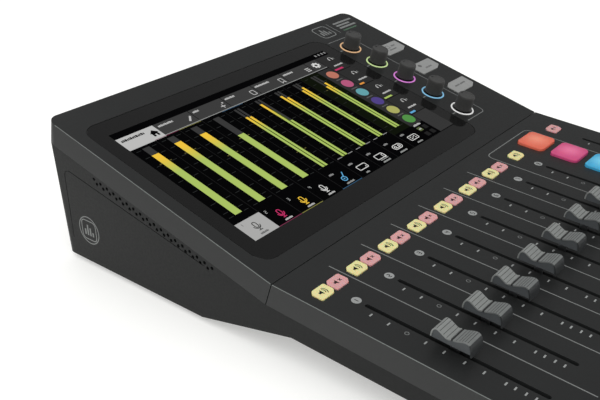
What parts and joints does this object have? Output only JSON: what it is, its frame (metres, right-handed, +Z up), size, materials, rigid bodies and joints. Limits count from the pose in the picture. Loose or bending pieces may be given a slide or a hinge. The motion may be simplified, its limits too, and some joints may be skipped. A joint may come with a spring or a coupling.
{
  "type": "mixing console",
  "caption": "Compact digital mixing console with a sloping touch screen deck, lit knobs, a fader deck with solo and mute keys and trigger pads, and rear sockets.",
  "frame": {"origin": "centre of the footprint, on the plane that the feet stand on", "axes": "+X to the right of someone using it, +Y to the back, +Z up"},
  "size_m": [0.3284, 0.3749, 0.1002],
  "materials": {
    "deck_shell": "fine satin grain, charcoal grey",
    "cheek_shell": "fine satin grain",
    "pan_steel": "powder coat",
    "screen_glass": "black backed cover glass, polished",
    "module_steel": "pressed sheet",
    "board_green": "solder resist",
    "light_guide": "frosted light guide",
    "socket_black": "moulded",
    "screw_black": "black zinc",
    "foot_rubber": "matt",
    "fader_cap": "satin grey with darker sides",
    "key_yellow": "translucent silicone, pale yellow",
    "key_pink": "translucent silicone, pale pink",
    "button_grey": "satin light grey",
    "knob_rubber": "soft touch, charcoal",
    "pad_orange": "translucent silicone, lit from below",
    "pad_pink": "translucent silicone, lit from below",
    "pad_blue": "translucent silicone, lit from below",
    "pad_purple": "translucent silicone, lit from below",
    "pad_yellow": "translucent silicone, lit from below",
    "pad_green": "translucent silicone, lit from below"
  },
  "bodies": {
    "case": {"lower_deck_panel": "deck_shell", "upper_deck_panel": "deck_shell", "left_side_cheek": "cheek_shell", "right_side_cheek": "cheek_shell", "bottom_pan": "pan_steel", "rear_panel": "pan_steel", "display_glass": "screen_glass", "display_panel": "module_steel", "main_board": "board_green", "fader_board": "board_green", "encoder_board": "board_green", "fader_bodies": "module_steel", "knob_light_rings": "light_guide", "mic_sockets": "socket_black", "jack_sockets": "socket_black", "data_sockets": "module_steel", "power_inlet": "socket_black", "switch_housing": "socket_black", "case_screws": "screw_black", "feet": "foot_rubber"},
    "fader_1": {"fader_1": "fader_cap"},
    "fader_2": {"fader_2": "fader_cap"},
    "fader_3": {"fader_3": "fader_cap"},
    "fader_4": {"fader_4": "fader_cap"},
    "fader_5": {"fader_5": "fader_cap"},
    "fader_6": {"fader_6": "fader_cap"},
    "fader_7": {"fader_7": "fader_cap"},
    "fader_8": {"fader_8": "fader_cap"},
    "main_fader": {"main_fader": "fader_cap"},
    "solo_key_1": {"solo_key_1": "key_yellow"},
    "solo_key_2": {"solo_key_2": "key_yellow"},
    "solo_key_3": {"solo_key_3": "key_yellow"},
    "solo_key_4": {"solo_key_4": "key_yellow"},
    "solo_key_5": {"solo_key_5": "key_yellow"},
    "solo_key_6": {"solo_key_6": "key_yellow"},
    "solo_key_7": {"solo_key_7": "key_yellow"},
    "solo_key_8": {"solo_key_8": "key_yellow"},
    "mute_key_1": {"mute_key_1": "key_pink"},
    "mute_key_2": {"mute_key_2": "key_pink"},
    "mute_key_3": {"mute_key_3": "key_pink"},
    "mute_key_4": {"mute_key_4": "key_pink"},
    "mute_key_5": {"mute_key_5": "key_pink"},
    "mute_key_6": {"mute_key_6": "key_pink"},
    "mute_key_7": {"mute_key_7": "key_pink"},
    "main_mute_key": {"main_mute_key": "key_pink"},
    "pad_1": {"pad_1": "pad_orange"},
    "pad_2": {"pad_2": "pad_pink"},
    "pad_3": {"pad_3": "pad_blue"},
    "pad_4": {"pad_4": "pad_purple"},
    "pad_5": {"pad_5": "pad_yellow"},
    "pad_6": {"pad_6": "pad_green"},
    "function_button_1": {"function_button_1": "button_grey"},
    "function_button_2": {"function_button_2": "button_grey"},
    "function_button_3": {"function_button_3": "button_grey"},
    "knob_1": {"knob_1": "knob_rubber"},
    "knob_2": {"knob_2": "knob_rubber"},
    "knob_3": {"knob_3": "knob_rubber"},
    "knob_4": {"knob_4": "knob_rubber"},
    "knob_5": {"knob_5": "knob_rubber"},
    "power_switch": {"power_switch": "socket_black"}
  },
  "joints": [
    {"name": "fader_1_slide", "type": "slide", "parent": "case", "child": "fader_1", "axis": [0, 0.9974, 0.0715], "range_m": [-0.0485, 0.0515]},
    {"name": "fader_2_slide", "type": "slide", "parent": "case", "child": "fader_2", "axis": [0, 0.9974, 0.0715], "range_m": [-0.0485, 0.0515]},
    {"name": "fader_3_slide", "type": "slide", "parent": "case", "child": "fader_3", "axis": [0, 0.9974, 0.0715], "range_m": [-0.0485, 0.0515]},
    {"name": "fader_4_slide", "type": "slide", "parent": "case", "child": "fader_4", "axis": [0, 0.9974, 0.0715], "range_m": [-0.0485, 0.0515]},
    {"name": "fader_5_slide", "type": "slide", "parent": "case", "child": "fader_5", "axis": [0, 0.9974, 0.0715], "range_m": [-0.0485, 0.0515]},
    {"name": "fader_6_slide", "type": "slide", "parent": "case", "child": "fader_6", "axis": [0, 0.9974, 0.0715], "range_m": [-0.0485, 0.0515]},
    {"name": "fader_7_slide", "type": "slide", "parent": "case", "child": "fader_7", "axis": [0, 0.9974, 0.0715], "range_m": [-0.0485, 0.0515]},
    {"name": "fader_8_slide", "type": "slide", "parent": "case", "child": "fader_8", "axis": [0, 0.9974, 0.0715], "range_m": [-0.0485, 0.0515]},
    {"name": "main_fader_slide", "type": "slide", "parent": "case", "child": "main_fader", "axis": [0, 0.9974, 0.0715], "range_m": [-0.0485, 0.0515]},
    {"name": "solo_key_1_press", "type": "slide", "parent": "case", "child": "solo_key_1", "axis": [0, 0.0715, -0.9974], "range_m": [0, 0.0006], "stiffness_N_per_m": 1300},
    {"name": "solo_key_2_press", "type": "slide", "parent": "case", "child": "solo_key_2", "axis": [0, 0.0715, -0.9974], "range_m": [0, 0.0006], "stiffness_N_per_m": 1300},
    {"name": "solo_key_3_press", "type": "slide", "parent": "case", "child": "solo_key_3", "axis": [0, 0.0715, -0.9974], "range_m": [0, 0.0006], "stiffness_N_per_m": 1300},
    {"name": "solo_key_4_press", "type": "slide", "parent": "case", "child": "solo_key_4", "axis": [0, 0.0715, -0.9974], "range_m": [0, 0.0006], "stiffness_N_per_m": 1300},
    {"name": "solo_key_5_press", "type": "slide", "parent": "case", "child": "solo_key_5", "axis": [0, 0.0715, -0.9974], "range_m": [0, 0.0006], "stiffness_N_per_m": 1300},
    {"name": "solo_key_6_press", "type": "slide", "parent": "case", "child": "solo_key_6", "axis": [0, 0.0715, -0.9974], "range_m": [0, 0.0006], "stiffness_N_per_m": 1300},
    {"name": "solo_key_7_press", "type": "slide", "parent": "case", "child": "solo_key_7", "axis": [0, 0.0715, -0.9974], "range_m": [0, 0.0006], "stiffness_N_per_m": 1300},
    {"name": "solo_key_8_press", "type": "slide", "parent": "case", "child": "solo_key_8", "axis": [0, 0.0715, -0.9974], "range_m": [0, 0.0006], "stiffness_N_per_m": 1300},
    {"name": "mute_key_1_press", "type": "slide", "parent": "case", "child": "mute_key_1", "axis": [0, 0.0715, -0.9974], "range_m": [0, 0.0006], "stiffness_N_per_m": 1300},
    {"name": "mute_key_2_press", "type": "slide", "parent": "case", "child": "mute_key_2", "axis": [0, 0.0715, -0.9974], "range_m": [0, 0.0006], "stiffness_N_per_m": 1300},
    {"name": "mute_key_3_press", "type": "slide", "parent": "case", "child": "mute_key_3", "axis": [0, 0.0715, -0.9974], "range_m": [0, 0.0006], "stiffness_N_per_m": 1300},
    {"name": "mute_key_4_press", "type": "slide", "parent": "case", "child": "mute_key_4", "axis": [0, 0.0715, -0.9974], "range_m": [0, 0.0006], "stiffness_N_per_m": 1300},
    {"name": "mute_key_5_press", "type": "slide", "parent": "case", "child": "mute_key_5", "axis": [0, 0.0715, -0.9974], "range_m": [0, 0.0006], "stiffness_N_per_m": 1300},
    {"name": "mute_key_6_press", "type": "slide", "parent": "case", "child": "mute_key_6", "axis": [0, 0.0715, -0.9974], "range_m": [0, 0.0006], "stiffness_N_per_m": 1300},
    {"name": "mute_key_7_press", "type": "slide", "parent": "case", "child": "mute_key_7", "axis": [0, 0.0715, -0.9974], "range_m": [0, 0.0006], "stiffness_N_per_m": 1300},
    {"name": "main_mute_key_press", "type": "slide", "parent": "case", "child": "main_mute_key", "axis": [0, 0.0715, -0.9974], "range_m": [0, 0.0006], "stiffness_N_per_m": 1300},
    {"name": "pad_1_press", "type": "slide", "parent": "case", "child": "pad_1", "axis": [0, 0.0715, -0.9974], "range_m": [0, 0.0006], "stiffness_N_per_m": 2500},
    {"name": "pad_2_press", "type": "slide", "parent": "case", "child": "pad_2", "axis": [0, 0.0715, -0.9974], "range_m": [0, 0.0006], "stiffness_N_per_m": 2500},
    {"name": "pad_3_press", "type": "slide", "parent": "case", "child": "pad_3", "axis": [0, 0.0715, -0.9974], "range_m": [0, 0.0006], "stiffness_N_per_m": 2500},
    {"name": "pad_4_press", "type": "slide", "parent": "case", "child": "pad_4", "axis": [0, 0.0715, -0.9974], "range_m": [0, 0.0006], "stiffness_N_per_m": 2500},
    {"name": "pad_5_press", "type": "slide", "parent": "case", "child": "pad_5", "axis": [0, 0.0715, -0.9974], "range_m": [0, 0.0006], "stiffness_N_per_m": 2500},
    {"name": "pad_6_press", "type": "slide", "parent": "case", "child": "pad_6", "axis": [0, 0.0715, -0.9974], "range_m": [0, 0.0006], "stiffness_N_per_m": 2500},
    {"name": "function_button_1_press", "type": "slide", "parent": "case", "child": "function_button_1", "axis": [0, 0.2571, -0.9664], "range_m": [0, 0.0006], "stiffness_N_per_m": 1300},
    {"name": "function_button_2_press", "type": "slide", "parent": "case", "child": "function_button_2", "axis": [0, 0.2571, -0.9664], "range_m": [0, 0.0006], "stiffness_N_per_m": 1300},
    {"name": "function_button_3_press", "type": "slide", "parent": "case", "child": "function_button_3", "axis": [0, 0.2571, -0.9664], "range_m": [0, 0.0006], "stiffness_N_per_m": 1300},
    {"name": "knob_1_turn", "type": "hinge", "parent": "case", "child": "knob_1", "pos_m": [0.10976, 0.14295, 0.08635], "axis": [0, -0.2571, 0.9664], "continuous": true},
    {"name": "knob_2_turn", "type": "hinge", "parent": "case", "child": "knob_2", "pos_m": [0.10976, 0.11584, 0.07914], "axis": [0, -0.2571, 0.9664], "continuous": true},
    {"name": "knob_3_turn", "type": "hinge", "parent": "case", "child": "knob_3", "pos_m": [0.10976, 0.08874, 0.07193], "axis": [0, -0.2571, 0.9664], "continuous": true},
    {"name": "knob_4_turn", "type": "hinge", "parent": "case", "child": "knob_4", "pos_m": [0.10976, 0.06163, 0.06471], "axis": [0, -0.2571, 0.9664], "continuous": true},
    {"name": "knob_5_turn", "type": "hinge", "parent": "case", "child": "knob_5", "pos_m": [0.10976, 0.03452, 0.0575], "axis": [0, -0.2571, 0.9664], "continuous": true},
    {"name": "power_switch_rock", "type": "hinge", "parent": "case", "child": "power_switch", "pos_m": [0.144, 0.173, 0.034], "axis": [1, 0, 0], "range_deg": [0, 16]}
  ]
}
